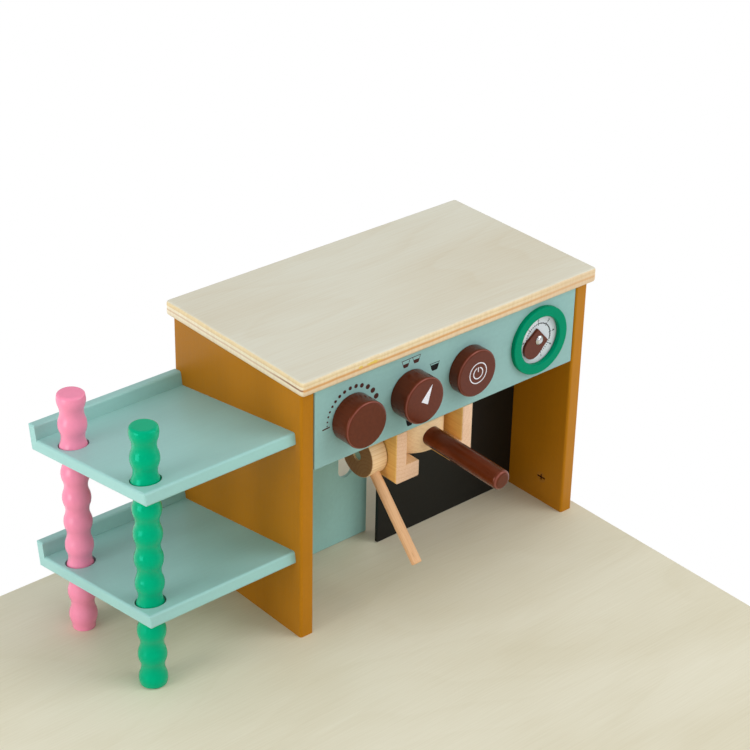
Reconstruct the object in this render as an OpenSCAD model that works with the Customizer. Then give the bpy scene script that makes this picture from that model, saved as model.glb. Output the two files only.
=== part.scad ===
// Toy espresso machine of painted board, birch plywood and turned beech.
// A housing of two side panels, a top and a control fascia stands on a worktop.
// Under the fascia hang the portafilter rails and the steam wand; two tilted
// shelves on waved posts stand out to the left.
// All sizes are millimetres. Inside the design frame x = 0 is the outer face of
// the left side panel, y = 0 the front edge of the side panels, z = 0 the worktop.

/* [Housing] */
// Outer width over the two side panels
housing_w = 285; // [265:1:320]
// Depth of a side panel, front to back
housing_d = 152; // [146:1:165]
// Height of a side panel, worktop to the underside of the top
side_h = 209.5; // [200:0.5:225]
// Thickness of the painted side board
side_t = 12; // [11:0.5:14]
// Radius on the upright edges of the side panels
edge_r = 2; // [1:0.25:3]
// Thickness of the plywood top
top_t = 12; // [10:0.5:14]
// Overhang of the top beyond the front edges
top_over_front = 5.6; // [3:0.2:7]
// Overhang of the top beyond each side
top_over_side = 3.4; // [1:0.2:5]
// Overhang of the top beyond the rear edges
top_over_back = 5; // [2:0.2:8]
// Radius of the top's corners, seen from above
top_corner_r = 3; // [3:0.5:6]
// Radius on the top's upper and lower edges
top_edge_r = 2.25; // [1:0.25:2.75]

/* [Fascia] */
// Height of the control fascia below the top
fascia_h = 67.8; // [65:0.1:72]
// Thickness of the control fascia
fascia_t = 12; // [10:0.5:14]
// Setback of the fascia behind the side panels' front edges
fascia_set = 0.3; // [0.1:0.1:1.5]
// Gap between the fascia's end and each side panel
fascia_gap = 0.4; // [0.2:0.1:0.8]
// Radius on the fascia's edges
fascia_edge_r = 1; // [0.5:0.1:2]

/* [Sliding doors] */
// Front face of the black door, behind the side panels' front edges
black_y = 61.1; // [60:0.1:66]
// Left edge of the closed black door, from the housing's left face
black_x = 127.5; // [120:0.5:140]
// Front face of the mint door, behind the side panels' front edges
mint_y = 80.1; // [78:0.1:86]
// Right edge of the closed mint door, from the housing's left face
mint_x = 131.4; // [126:0.2:138]
// Thickness of the hardboard doors
door_t = 3; // [2.5:0.5:4]
// Depth of the tracks in the top's underside
track_d = 3; // [2:0.5:4]
// Gap between a door and whatever it slides past
door_gap = 0.5; // [0.3:0.1:0.8]
// Thickness of the bay ceiling that ties the sides together
ceil_t = 9; // [8:0.5:12]
// Width of the finger slot in each door
finger_w = 15.5; // [14:0.5:18]
// Length of a finger slot
finger_l = 40; // [30:1:60]
// Height of a finger slot's lower end
finger_z = 59.5; // [50:0.5:80]
// Middle of a finger slot from its door's free edge
finger_in = 21.7; // [12:0.1:30]

/* [Control knobs] */
// Distance of all knob and gauge centres below the top
control_down = 35; // [33:0.5:36.5]
// Centre of the strength knob, from the housing's left face
strength_x = 47.1; // [40:0.1:52]
// Centre of the selector knob
selector_x = 102.4; // [96:0.1:108]
// Centre of the power knob
power_x = 160.4; // [154:0.1:166]
// Radius of the strength and selector knobs
knob_r = 18.8; // [16:0.2:21]
// Height of the strength and selector knobs
knob_h = 16.8; // [12:0.2:20]
// Radius of the power knob
power_r = 19.4; // [16:0.2:21]
// Height of the power knob
power_h = 10.4; // [9:0.2:16]
// Radius on the knobs' front rims
knob_edge_r = 2; // [1:0.25:3]
// Gap between a knob and the fascia
knob_gap = 0.4; // [0.3:0.1:1]
// Radius of the screw that a knob turns with
screw_r = 2; // [1.5:0.25:2.5]
// Depth of that screw in the knob
screw_in_knob = 7; // [5:0.5:8]
// Running clearance round a turning shaft, on the radius
run_clear = 0.1; // [0.05:0.01:0.1]
// Height of a screw head
screw_head_h = 2.6; // [2:0.1:3]
// Radius of a screw head
screw_head_r = 4.2; // [3.5:0.1:4.6]
// Radius on a knob screw's head
screw_edge_r = 0.4; // [0.2:0.1:0.8]

/* [Gauge] */
// Centre of the gauge, from the housing's right face
gauge_in = 51.4; // [46:0.2:60]
// Outer radius of the green ring
ring_r = 28.3; // [26:0.1:30]
// Inner radius of the green ring
ring_in_r = 20.1; // [19:0.1:21.5]
// Thickness of the green ring
ring_t = 3.6; // [3:0.2:5]
// Radius on the green ring's two front edges
ring_edge_r = 0.9; // [0.4:0.1:1.4]
// Radius of the white dial
dial_r = 22; // [21.6:0.1:24]
// Thickness of the white dial
dial_t = 1; // [0.8:0.1:1.4]
// Depth of the dial's face behind the fascia's front
dial_sink = 0.75; // [0.3:0.05:1]
// Distance from the pivot to the pointer's rounded end
pointer_l = 17.2; // [14:0.2:18.4]
// Distance from the pivot to the pointer's straight back
pointer_back = 5.4; // [4.6:0.2:7]
// Width of the pointer's straight back
pointer_w = 16.8; // [13:0.2:18]
// Radius of the pointer's rounded end
pointer_r = 9.4; // [8:0.2:10]
// Thickness of the pointer
pointer_t = 2.2; // [1.6:0.1:2.6]
// Direction of the pointer, anticlockwise from the right as seen from the front
pointer_a = 221.5; // [0:0.5:359.5]
// Radius of the rivet's shank
rivet_r = 1.5; // [1.2:0.1:2]
// Radius of the rivet's domed head
rivet_head_r = 3.8; // [3:0.1:4.4]
// Height of the rivet's domed head
rivet_head_h = 1.9; // [1.2:0.1:2.4]
// End play of the pointer under the rivet's head and over the dial
pointer_play = 0.25; // [0.2:0.05:0.3]

/* [Portafilter] */
// Centre line between the two rails, from the housing's left face
bay_x = 129.6; // [124:0.2:132]
// Clear width between the rails' uprights
bay_w = 55.4; // [50:0.2:58]
// Thickness of a rail's upright
rail_t = 10.7; // [9:0.1:12]
// Reach of a rail's foot beyond its upright
foot_w = 12.7; // [8:0.1:13]
// Thickness of a rail's foot
foot_t = 13.7; // [10:0.1:15]
// Height of the rails, from their undersides to the bay's ceiling
rail_h = 42.9; // [41:0.1:46]
// Radius on the rails' edges
rail_edge_r = 1.5; // [1:0.25:4]
// Radius on the two long edges of a foot's tip
foot_tip_r = 2.5; // [1:0.25:4]
// Play of the portafilter's head between the uprights, each side
head_play = 0.4; // [0.3:0.1:0.8]
// Gap between the head's front and the fascia's front plane
head_set = 3.8; // [2:0.2:6]
// Height of the head
head_h = 26; // [22:0.5:26.5]
// Lift of the head above the rails' feet
head_lift = 0.3; // [0.2:0.05:0.5]
// Radius on the head's rims
head_edge_r = 1.5; // [0.5:0.25:2.5]
// Radius of the handle
handle_r = 8; // [6:0.1:9]
// Length of the handle from the head's centre to its end
handle_l = 105; // [95:1:125]
// Depth of the handle's seat in the head
handle_in = 9; // [6:0.5:12]
// Droop of the handle below level, degrees
handle_droop = 1.5; // [0:0.1:3]
// Radius on the handle's end
handle_edge_r = 3; // [1:0.25:5]

/* [Steam wand] */
// Radius of the wand's hub
hub_r = 18; // [16:0.2:20]
// Thickness of the hub
hub_t = 15; // [13:0.5:17]
// Centre of the hub behind the side panels' front edges
hub_y = 27.4; // [25:0.2:30]
// Centre of the hub below the bay's ceiling
hub_down = 23.9; // [21:0.1:26]
// Radius on the hub's rims
hub_edge_r = 1.2; // [0.5:0.1:2]
// Gap between the hub and the left rail
hub_gap = 0.6; // [0.3:0.1:1]
// Radius of the pivot pin's shank
pin_r = 2.6; // [2:0.1:3.2]
// Radius of the pivot pin's head
pin_head_r = 4.3; // [3.8:0.1:5]
// Height of the pivot pin's head
pin_head_h = 2.6; // [2:0.1:3.5]
// Depth of the head's face inside the hub
pin_sink = 1.6; // [0.8:0.1:2.5]
// Depth of the pin in the rail
pin_in_rail = 8; // [6:0.5:8.5]
// Radius of the wand's dowel
wand_r = 4.1; // [3.5:0.1:5]
// Length of the wand from the hub's centre to its tip
wand_l = 92; // [80:1:98]
// Radius on the wand's tip
wand_edge_r = 1; // [0.5:0.1:2]
// Distance from the hub's centre to the dowel's inner end
wand_in = 9.5; // [8.5:0.5:12]
// Forward lean of the wand from straight down, degrees
wand_a = 42.5; // [0:0.5:60]

/* [Shelves] */
// Length of a shelf, from the left side panel outwards
shelf_l = 129.6; // [110:0.2:145]
// Depth of a shelf with its lip, along the slope
shelf_d = 146; // [136:1:147]
// Thickness of a shelf
shelf_t = 10; // [8:0.5:12]
// Setback of a shelf's front edge behind the side panel's front edge
shelf_y = 7.3; // [5:0.1:9]
// Height of the lower shelf's front edge
lower_z = 74; // [68:0.5:82]
// Height of the upper shelf's front edge
upper_z = 175.1; // [168:0.1:182]
// Slope of both shelves down to the rear, degrees
shelf_tilt = 8.85; // [4:0.05:11]
// Thickness of the lip along the rear edge
lip_t = 9; // [8:0.5:12]
// Height of the lip above the shelf
lip_h = 11.4; // [8:0.2:15]
// Radius of the shelves' outer corners
shelf_edge_r = 1.8; // [1:0.2:2.5]

/* [Posts] */
// Distance of the posts' axes from the shelves' outer ends
post_in = 14.5; // [14:0.1:20]
// Front post axis behind the shelves' front edges
front_post_in = 19.1; // [16:0.1:24]
// Rear post axis in front of the lips
rear_post_in = 26.7; // [18:0.1:34]
// Radius of a post at the crest of a wave
crest_r = 10.7; // [9.5:0.1:11.5]
// Depth of a wave between crest and neck
wave_d = 1.95; // [1:0.05:2.5]
// Pitch of the waves
wave_p = 20.5; // [17:0.1:24]
// Front post height above the worktop
front_post_h = 215.3; // [208:0.1:222]
// Rear post height above the worktop
rear_post_h = 200.7; // [194:0.1:208]
// Radius on the posts' ends
post_end_r = 3; // [2:0.2:4]
// Gap between a post's crest and its hole in a shelf
post_gap = 0.6; // [0.3:0.1:1]

/* [Fixings] */
// Radius of the wooden dowels in the housing
dowel_r = 3; // [2.5:0.25:3.5]
// Depth of a dowel in a side board
dowel_in_side = 8; // [6:0.5:9]
// Depth of a dowel in the top board
dowel_in_top = 7; // [5:0.5:8]
// Depth of a dowel in an edge or a shelf
dowel_in_edge = 18; // [12:1:24]
// Play at each end of a dowel
dowel_play = 0.4; // [0.2:0.1:0.8]
// Top dowels from the front and rear edges of a side panel
top_dowel_in = 28; // [20:1:40]
// Fascia dowels from the fascia's upper and lower edges
fascia_dowel_in = 14; // [10:1:20]
// Ceiling dowels from the ceiling's front and rear edges
ceiling_dowel_in = 12; // [8:1:16]
// Shelf dowels from the shelf's front edge and from its lip
shelf_dowel_in = 26; // [18:1:40]
// Radius of the steel pins that cross a shelf and a post
shelf_pin_r = 1.25; // [1:0.25:1.5]
// Distance from a shelf's outer edge to its pins
shelf_pin_in = 0.8; // [0.6:0.1:1.5]
// Depth of a pin in the shelf beyond the post
shelf_pin_past = 8; // [5:0.5:12]
// Length of a rail screw in the rail
rail_screw_l = 16; // [12:1:18]
// Rail screws from the ceiling's front and rear edges
rail_screw_in = 16; // [10:0.5:18]
// Front worktop bolts, behind the side panels' front edges
bolt_y = 24.4; // [20:0.2:30]
// Height of the barrel nuts above the worktop
nut_z = 22.6; // [20:0.2:30]
// Radius of a barrel nut
nut_r = 5; // [4.5:0.25:5.5]
// Length of a barrel nut
nut_l = 10; // [9:0.5:10.5]
// Play between a barrel nut's end and the bottom of its hole
nut_play = 0.2; // [0.1:0.1:0.5]
// Radius of the bolt holes in the side panels' undersides
bolt_hole_r = 3.3; // [3.2:0.05:3.5]
// Depth of a bolt hole past its barrel nut
bolt_hole_past = 8; // [4:0.5:12]
// Radius of the tapped hole in a barrel nut, at the thread's outer diameter
nut_hole_r = 3; // [2.6:0.1:3.1]
// Length of the slot across a barrel nut's face
slot_l = 8.8; // [7:0.2:9]
// Length of the recess that crosses the slot
cross_l = 5.4; // [4:0.2:6.5]
// Width of the cross recess
cross_w = 1.5; // [0.8:0.1:1.8]
// Depth of the cross recess
cross_d = 1.3; // [0.5:0.1:1.5]

/* [Hidden] */
$fn = 96;
// How far a cut reaches past a face
eps = 0.01;
// Levels, from the worktop up
control_z = side_h - control_down;
fascia_z = side_h - fascia_h;
ceil_z = fascia_z;
rail_z = ceil_z - rail_h;
foot_z = rail_z + foot_t;
head_z = foot_z + head_lift;
handle_z = head_z + head_h / 2;
hub_z = ceil_z - hub_down;
// Stations from left to right
inner_l = side_t;
inner_r = housing_w - side_t;
gauge_x = housing_w - gauge_in;
rail_l_x = bay_x - bay_w / 2 - rail_t;
rail_r_x = bay_x + bay_w / 2 + rail_t;
hub_x = rail_l_x - hub_gap - hub_t;
post_x = post_in - shelf_l;
// Stations from front to back
fascia_back = fascia_set + fascia_t;
bay_back = black_y - door_gap;
head_r = bay_w / 2 - head_play;
head_y = fascia_set + head_set + head_r;
lip_u = shelf_d - lip_t;
front_post_y = shelf_y + front_post_in;
rear_post_y = shelf_y + lip_u * cos(shelf_tilt) - rear_post_in;
bolt_ys = [bolt_y, housing_d - bolt_y];
top_dowel_ys = [top_dowel_in, housing_d - top_dowel_in];
fascia_dowel_zs = [fascia_z + fascia_dowel_in, side_h - fascia_dowel_in];
ceiling_dowel_ys = [fascia_back + ceiling_dowel_in, bay_back - ceiling_dowel_in];
rail_screw_ys = [fascia_back + rail_screw_in, bay_back - rail_screw_in];
shelf_dowel_us = [shelf_dowel_in, lip_u - shelf_dowel_in];
// The pointer turns between the dial and the rivet's head
pointer_y = fascia_set + dial_sink - pointer_play;
rivet_y = pointer_y - pointer_t - pointer_play;
// Waves of a post: arcs of one radius that meet halfway between crest and neck
neck_r = crest_r - wave_d;
mid_r = crest_r - wave_d / 2;
wave_r = (pow(wave_p / 4, 2) + pow(wave_d / 2, 2)) / wave_d;
// The origin is the middle of the whole machine's footprint, on the worktop
handle_reach = (handle_l - handle_edge_r) * cos(handle_droop)
    + (handle_r - handle_edge_r) * sin(handle_droop) + handle_edge_r;
origin = [(housing_w + top_over_side - shelf_l) / 2,
          (housing_d + top_over_back + head_y - handle_reach) / 2, 0];

mustard = "#B67612";
mint = "#9CCCC7";
birch = "#DEC9A0";
beech = "#E0BC80";
brown = "#683021";
steel = "#C4C6C8";

// ---- shared shapes ----

// Moves the design frame to the footprint's middle
module placed() { translate(-origin) children(); }

// A rectangle with arc corners; sharp lists the corners that stay square, as 0 or 1 along each side
module round_rect(w, h, r, sharp = []) {
    translate([r, 0]) square([w - 2 * r, h]);
    translate([0, r]) square([w, h - 2 * r]);
    for (x = [r, w - r], y = [r, h - r]) translate([x, y]) circle(r);
    for (c = sharp) translate([c.x * (w - r), c.y * (h - r)]) square(r);
}

// A board with rounded edges; above, front and right list the corners that stay square in each section
module soft_board(s, r, above = [], front = [], right = []) {
    intersection() {
        linear_extrude(s.z) round_rect(s.x, s.y, r, above);
        translate([0, s.y, 0]) rotate([90, 0, 0]) linear_extrude(s.y) round_rect(s.x, s.z, r, front);
        rotate([90, 0, 90]) linear_extrude(s.x) round_rect(s.y, s.z, r, right);
    }
}

// A turned disc on z = 0 whose far rim is rounded
module turned_disc(r, h, e) {
    rotate_extrude() {
        square([r - e, h]);
        square([r, h - e]);
        translate([r - e, h - e]) circle(e);
    }
}

// A turned disc with both rims rounded; the cut at its axis lets the rounding be wider than half its radius
module turned_puck(r, h, e) {
    rotate_extrude() intersection() {
        square([r, h]);
        union() {
            square([r - e, h]);
            translate([0, e]) square([r, h - 2 * e]);
            for (z = [e, h - e]) translate([r - e, z]) circle(e);
        }
    }
}

// A slab with round corners in plan and round edges all the way round
module round_slab(s, corner_r, e) {
    translate([corner_r, 0, 0]) rotate([90, 0, 90])
        linear_extrude(s.x - 2 * corner_r) round_rect(s.y, s.z, e);
    translate([0, s.y - corner_r, 0]) rotate([90, 0, 0])
        linear_extrude(s.y - 2 * corner_r) round_rect(s.x, s.z, e);
    for (x = [corner_r, s.x - corner_r], y = [corner_r, s.y - corner_r])
        translate([x, y, 0]) turned_puck(corner_r, s.z, e);
}

// Turns z to the machine's front, at a point of a plane that faces the front
module on_front(x, y, z) { translate([x, y, z]) rotate([90, 0, 0]) children(); }

// A cylinder along x between two stations
module rod_x(x0, x1, r) { translate([x0, 0, 0]) rotate([0, 90, 0]) cylinder(r = r, h = x1 - x0); }

// The slope of a shelf: u runs down to the rear, z is square to the board
module on_shelf(z) { translate([0, shelf_y, z]) rotate([-shelf_tilt, 0, 0]) children(); }

// The middle of a shelf's thickness at a post
function shelf_mid_z(z, y) = z - (y - shelf_y) * tan(shelf_tilt) - shelf_t / 2 / cos(shelf_tilt);

// ---- holes that several pieces share ----

module top_dowel_set(up, down) {
    for (x = [side_t / 2, housing_w - side_t / 2], y = top_dowel_ys)
        translate([x, y, side_h - down]) cylinder(r = dowel_r, h = down + up);
}

module fascia_dowel_set(out, in) {
    for (z = fascia_dowel_zs) translate([0, fascia_set + fascia_t / 2, z]) {
        rod_x(inner_l - out, inner_l + in, dowel_r);
        rod_x(inner_r - in, inner_r + out, dowel_r);
    }
}

module ceiling_dowel_set(out, in) {
    for (y = ceiling_dowel_ys) translate([0, y, ceil_z + ceil_t / 2]) {
        rod_x(inner_l - out, inner_l + in, dowel_r);
        rod_x(inner_r - in, inner_r + out, dowel_r);
    }
}

module shelf_dowel_set(z, out, in) {
    on_shelf(z) for (u = shelf_dowel_us) translate([0, u, -shelf_t / 2]) rod_x(-out, in, dowel_r);
}

module shelf_pin_set(z) {
    for (y = [front_post_y, rear_post_y])
        translate([0, y, shelf_mid_z(z, y)])
            rod_x(shelf_pin_in - shelf_l, post_x + crest_r + post_gap + shelf_pin_past, shelf_pin_r);
}

// ---- housing ----

module side_panel(mirrored) {
    x0 = mirrored ? inner_r : 0;
    face = mirrored ? inner_r : inner_l;
    into = mirrored ? 1 : -1;
    difference() {
        translate([x0, 0, 0]) linear_extrude(side_h) round_rect(side_t, housing_d, edge_r);
        top_dowel_set(eps, dowel_in_edge);
        fascia_dowel_set(dowel_in_side, eps);
        ceiling_dowel_set(dowel_in_side, eps);
        if (!mirrored) {
            shelf_dowel_set(lower_z, eps, dowel_in_side);
            shelf_dowel_set(upper_z, eps, dowel_in_side);
        }
        for (y = bolt_ys) {
            translate([x0 + side_t / 2, y, -eps])
                cylinder(r = bolt_hole_r, h = nut_z + nut_r + bolt_hole_past + eps);
            translate([0, y, nut_z])
                rod_x(min(face - eps, face + into * (nut_l + nut_play)),
                      max(face + eps, face + into * (nut_l + nut_play)), nut_r);
        }
    }
}

module left_side_panel() { color(mustard) placed() side_panel(false); }

module right_side_panel() { color(mustard) placed() side_panel(true); }

module top_panel() {
    w = housing_w + 2 * top_over_side;
    d = housing_d + top_over_front + top_over_back;
    color(birch) placed() difference() {
        translate([-top_over_side, -top_over_front, side_h])
            round_slab([w, d, top_t], top_corner_r, top_edge_r);
        top_dowel_set(dowel_in_top, eps);
        for (y = [black_y, mint_y]) door_track(y);
    }
}

// A track in the top's underside that a door slides in
module door_track(y) {
    translate([inner_l, y - door_gap, side_h - eps])
        cube([inner_r - inner_l, door_t + 2 * door_gap, track_d + eps]);
}

module front_fascia() {
    color(mint) placed() difference() {
        translate([inner_l + fascia_gap, fascia_set, fascia_z])
            soft_board([inner_r - inner_l - 2 * fascia_gap, fascia_t, fascia_h], fascia_edge_r);
        fascia_dowel_set(eps, dowel_in_edge);
        for (x = [strength_x, selector_x, power_x])
            on_front(x, fascia_back + eps, control_z)
                cylinder(r = screw_r + run_clear, h = fascia_t + 2 * eps);
        on_front(gauge_x, fascia_set + dial_sink + dial_t, control_z)
            cylinder(r = dial_r, h = dial_sink + dial_t + eps);
        on_front(gauge_x, fascia_back + eps, control_z) cylinder(r = rivet_r, h = fascia_t);
    }
}

module bay_ceiling() {
    color(birch) placed() difference() {
        translate([inner_l, fascia_back, ceil_z]) cube([inner_r - inner_l, bay_back - fascia_back, ceil_t]);
        ceiling_dowel_set(eps, dowel_in_edge);
        rail_screw_set(0, eps);
    }
}

// ---- sliding doors ----

// A door between two stations; its top edge runs in a track, its foot just clears the worktop
module door(x0, x1, y, slot_x) {
    low = finger_z + finger_w / 2;
    high = finger_z + finger_l - finger_w / 2;
    difference() {
        translate([x0, y, door_gap]) cube([x1 - x0, door_t, side_h + track_d - 2 * door_gap]);
        for (z = [low, high])
            on_front(slot_x, y + door_t + eps, z) cylinder(r = finger_w / 2, h = door_t + 2 * eps);
        translate([slot_x - finger_w / 2, y - eps, low]) cube([finger_w, door_t + 2 * eps, high - low]);
    }
}

module black_sliding_door() {
    color("#131310") placed() door(black_x, inner_r - door_gap, black_y, black_x + finger_in);
}

module mint_sliding_door() {
    color(mint) placed() door(inner_l + door_gap, mint_x, mint_y, mint_x - finger_in);
}

// ---- portafilter rails ----

// The L section of the left rail, upright on the left and foot to the right
module rail_section() {
    r = rail_edge_r;
    tip = foot_tip_r;
    w = rail_t + foot_w;
    translate([0, r]) square([rail_t, rail_h - r]);
    translate([r, 0]) square([w - r - tip, foot_t]);
    translate([r, tip]) square([w - r, foot_t - 2 * tip]);
    translate([r, r]) circle(r);
    for (z = [tip, foot_t - tip]) translate([w - tip, z]) circle(tip);
}

module rail() {
    l = bay_back - fascia_set;
    intersection() {
        translate([0, l, 0]) rotate([90, 0, 0]) linear_extrude(l) rail_section();
        // The front edges of the upright and of the foot are eased in plan
        union() {
            linear_extrude(rail_h) round_rect(rail_t, l, rail_edge_r, [[0, 1], [1, 1]]);
            linear_extrude(foot_t) round_rect(rail_t + foot_w, l, rail_edge_r, [[0, 1], [1, 1]]);
        }
    }
}

// Countersunk screws down through the ceiling into the rails' uprights
module rail_screw_set(deeper, above) {
    for (x = [rail_l_x + rail_t / 2, rail_r_x - rail_t / 2], y = rail_screw_ys)
        translate([x, y, ceil_z]) {
            translate([0, 0, -rail_screw_l - deeper])
                cylinder(r = screw_r, h = rail_screw_l + ceil_t + deeper + above);
            translate([0, 0, ceil_t - screw_head_h])
                cylinder(r1 = screw_r, r2 = screw_head_r, h = screw_head_h);
        }
}

module left_holder_rail() {
    color(beech) placed() difference() {
        translate([rail_l_x, fascia_set, rail_z]) rail();
        rail_screw_set(dowel_play, 0);
        translate([0, hub_y, hub_z]) rod_x(rail_l_x - eps, rail_l_x + pin_in_rail, pin_r);
    }
}

module right_holder_rail() {
    color(beech) placed() difference() {
        translate([rail_r_x, fascia_set, rail_z]) mirror([1, 0, 0]) rail();
        rail_screw_set(dowel_play, 0);
    }
}

// ---- knobs ----

module knob(x, r, h) {
    on_front(x, fascia_set - knob_gap, control_z) difference() {
        turned_disc(r, h, knob_edge_r);
        translate([0, 0, -eps]) cylinder(r = screw_r, h = screw_in_knob + eps);
    }
}

module strength_knob() { color(brown) placed() knob(strength_x, knob_r, knob_h); }

module selector_knob() { color(brown) placed() knob(selector_x, knob_r, knob_h); }

module power_knob() { color(brown) placed() knob(power_x, power_r, power_h); }

// The screw clamps the knob and turns with it; its head runs behind the fascia
module knob_screw(x) {
    on_front(x, fascia_back + knob_gap, control_z) {
        cylinder(r = screw_r, h = fascia_t + 2 * knob_gap + screw_in_knob);
        translate([0, 0, -screw_head_h]) turned_disc(screw_head_r, screw_head_h, screw_edge_r);
    }
}

module strength_knob_screw() { color(steel) placed() knob_screw(strength_x); }

module selector_knob_screw() { color(steel) placed() knob_screw(selector_x); }

module power_knob_screw() { color(steel) placed() knob_screw(power_x); }

// ---- gauge ----

module gauge_ring() {
    w = ring_r - ring_in_r;
    color("#009C76") placed() on_front(gauge_x, fascia_set, control_z) rotate_extrude()
        translate([ring_in_r, 0]) {
            square([w, ring_t - ring_edge_r]);
            translate([ring_edge_r, 0]) square([w - 2 * ring_edge_r, ring_t]);
            for (x = [ring_edge_r, w - ring_edge_r])
                translate([x, ring_t - ring_edge_r]) circle(ring_edge_r);
        }
}

module gauge_dial() {
    color("#DCE4E6") placed() on_front(gauge_x, fascia_set + dial_sink + dial_t, control_z) difference() {
        cylinder(r = dial_r, h = dial_t);
        translate([0, 0, -eps]) cylinder(r = rivet_r, h = dial_t + 2 * eps);
    }
}

// A tongue with a straight back and a round end, pivoted near its back
module gauge_pointer() {
    color(brown) placed() on_front(gauge_x, pointer_y, control_z) rotate([0, 0, pointer_a]) difference() {
        linear_extrude(pointer_t) {
            polygon([[-pointer_back, -pointer_w / 2], [pointer_l - pointer_r, -pointer_r],
                     [pointer_l - pointer_r, pointer_r], [-pointer_back, pointer_w / 2]]);
            translate([pointer_l - pointer_r, 0]) circle(pointer_r);
        }
        translate([0, 0, -eps]) cylinder(r = rivet_r + run_clear, h = pointer_t + 2 * eps);
    }
}

module gauge_rivet() {
    dome_r = (pow(rivet_head_r, 2) + pow(rivet_head_h, 2)) / (2 * rivet_head_h);
    color(steel) placed() {
        on_front(gauge_x, fascia_back, control_z) cylinder(r = rivet_r, h = fascia_back - rivet_y);
        on_front(gauge_x, rivet_y, control_z) rotate_extrude() intersection() {
            translate([0, rivet_head_h - dome_r]) circle(dome_r);
            square([rivet_head_r, rivet_head_h]);
        }
    }
}

// ---- portafilter ----

module handle_axis() { translate([bay_x, head_y, handle_z]) rotate([90 + handle_droop, 0, 0]) children(); }

module portafilter_head() {
    color(beech) placed() difference() {
        translate([bay_x, head_y, head_z]) turned_puck(head_r, head_h, head_edge_r);
        handle_axis() translate([0, 0, head_r - handle_in]) cylinder(r = handle_r, h = head_r);
    }
}

module portafilter_handle() {
    color(brown) placed() handle_axis() translate([0, 0, head_r - handle_in])
        turned_disc(handle_r, handle_l - head_r + handle_in, handle_edge_r);
}

// ---- steam wand ----

module wand_axis() { translate([hub_x + hub_t / 2, hub_y, hub_z]) rotate([180 - wand_a, 0, 0]) children(); }

module steam_wand_hub() {
    color(beech) placed() difference() {
        translate([hub_x, hub_y, hub_z]) rotate([0, 90, 0]) turned_puck(hub_r, hub_t, hub_edge_r);
        translate([0, hub_y, hub_z]) {
            rod_x(hub_x - eps, hub_x + hub_t + eps, pin_r + run_clear);
            rod_x(hub_x - eps, hub_x + pin_sink + pin_head_h + hub_gap / 2, pin_head_r + run_clear);
        }
        wand_axis() translate([0, 0, wand_in]) cylinder(r = wand_r, h = hub_r);
    }
}

module steam_wand_rod() {
    color("#DDA878") placed() wand_axis() translate([0, 0, wand_in])
        turned_disc(wand_r, wand_l - wand_in, wand_edge_r);
}

// Headed pin, fast in the left rail; the hub swings on it
module steam_wand_pin() {
    color(mint) placed() translate([0, hub_y, hub_z]) {
        rod_x(hub_x + pin_sink, rail_l_x + pin_in_rail, pin_r);
        rod_x(hub_x + pin_sink, hub_x + pin_sink + pin_head_h, pin_head_r);
    }
}

// ---- shelves and posts ----

module shelf(z) {
    difference() {
        on_shelf(z) translate([-shelf_l, 0, -shelf_t])
            soft_board([shelf_l, lip_u, shelf_t], shelf_edge_r,
                above = [[1, 0], [0, 1], [1, 1]], front = [[1, 0], [1, 1]], right = [[1, 0], [1, 1]]);
        for (y = [front_post_y, rear_post_y])
            translate([post_x, y, shelf_mid_z(z, y) - 2 * shelf_t])
                cylinder(r = crest_r + post_gap, h = 4 * shelf_t);
        shelf_dowel_set(z, dowel_in_edge, eps);
        shelf_pin_set(z);
    }
}

module shelf_lip(z) {
    on_shelf(z) translate([-shelf_l, lip_u, -shelf_t])
        soft_board([shelf_l, lip_t, shelf_t + lip_h], shelf_edge_r,
            above = [[0, 0], [1, 0], [1, 1]], front = [[1, 0], [1, 1]], right = [[0, 0]]);
}

module upper_shelf() { color(mint) placed() shelf(upper_z); }

module upper_shelf_lip() { color(mint) placed() shelf_lip(upper_z); }

module lower_shelf() { color(mint) placed() shelf(lower_z); }

module lower_shelf_lip() { color(mint) placed() shelf_lip(lower_z); }

// Half section of a waved post; its waves are counted down from its top
module wave_section(h) {
    crests = [for (i = [0:ceil(h / wave_p)]) h - wave_p * (i + 1 / 4)];
    intersection() {
        union() {
            difference() {
                square([mid_r, h]);
                for (z = crests) translate([neck_r + wave_r, z - wave_p / 2]) circle(wave_r);
            }
            for (z = crests) intersection() {
                translate([crest_r - wave_r, z]) circle(wave_r);
                translate([0, z - wave_p / 4]) square([crest_r, wave_p / 2]);
            }
        }
        union() {
            square([crest_r - post_end_r, h]);
            translate([0, post_end_r]) square([crest_r, h - 2 * post_end_r]);
            for (z = [post_end_r, h - post_end_r]) translate([crest_r - post_end_r, z]) circle(post_end_r);
        }
    }
}

module post(y, h) {
    difference() {
        translate([post_x, y, 0]) rotate_extrude() wave_section(h, $fn = 192);
        shelf_pin_set(lower_z);
        shelf_pin_set(upper_z);
    }
}

module front_post() { color("#00AB7B") placed() post(front_post_y, front_post_h); }

module rear_post() { color("#F79ABA") placed() post(rear_post_y, rear_post_h); }

// ---- fixings ----

module top_dowels() {
    color(beech) placed() top_dowel_set(dowel_in_top - dowel_play, dowel_in_edge - dowel_play);
}

module fascia_dowels() {
    color(beech) placed() fascia_dowel_set(dowel_in_side - dowel_play, dowel_in_edge - dowel_play);
}

module ceiling_dowels() {
    color(beech) placed() ceiling_dowel_set(dowel_in_side - dowel_play, dowel_in_edge - dowel_play);
}

module shelf_dowels() {
    color(beech) placed() for (z = [lower_z, upper_z])
        shelf_dowel_set(z, dowel_in_edge - dowel_play, dowel_in_side - dowel_play);
}

module shelf_pins() { color(steel) placed() for (z = [lower_z, upper_z]) shelf_pin_set(z); }

module rail_screws() { color(steel) placed() rail_screw_set(0, 0); }

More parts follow.
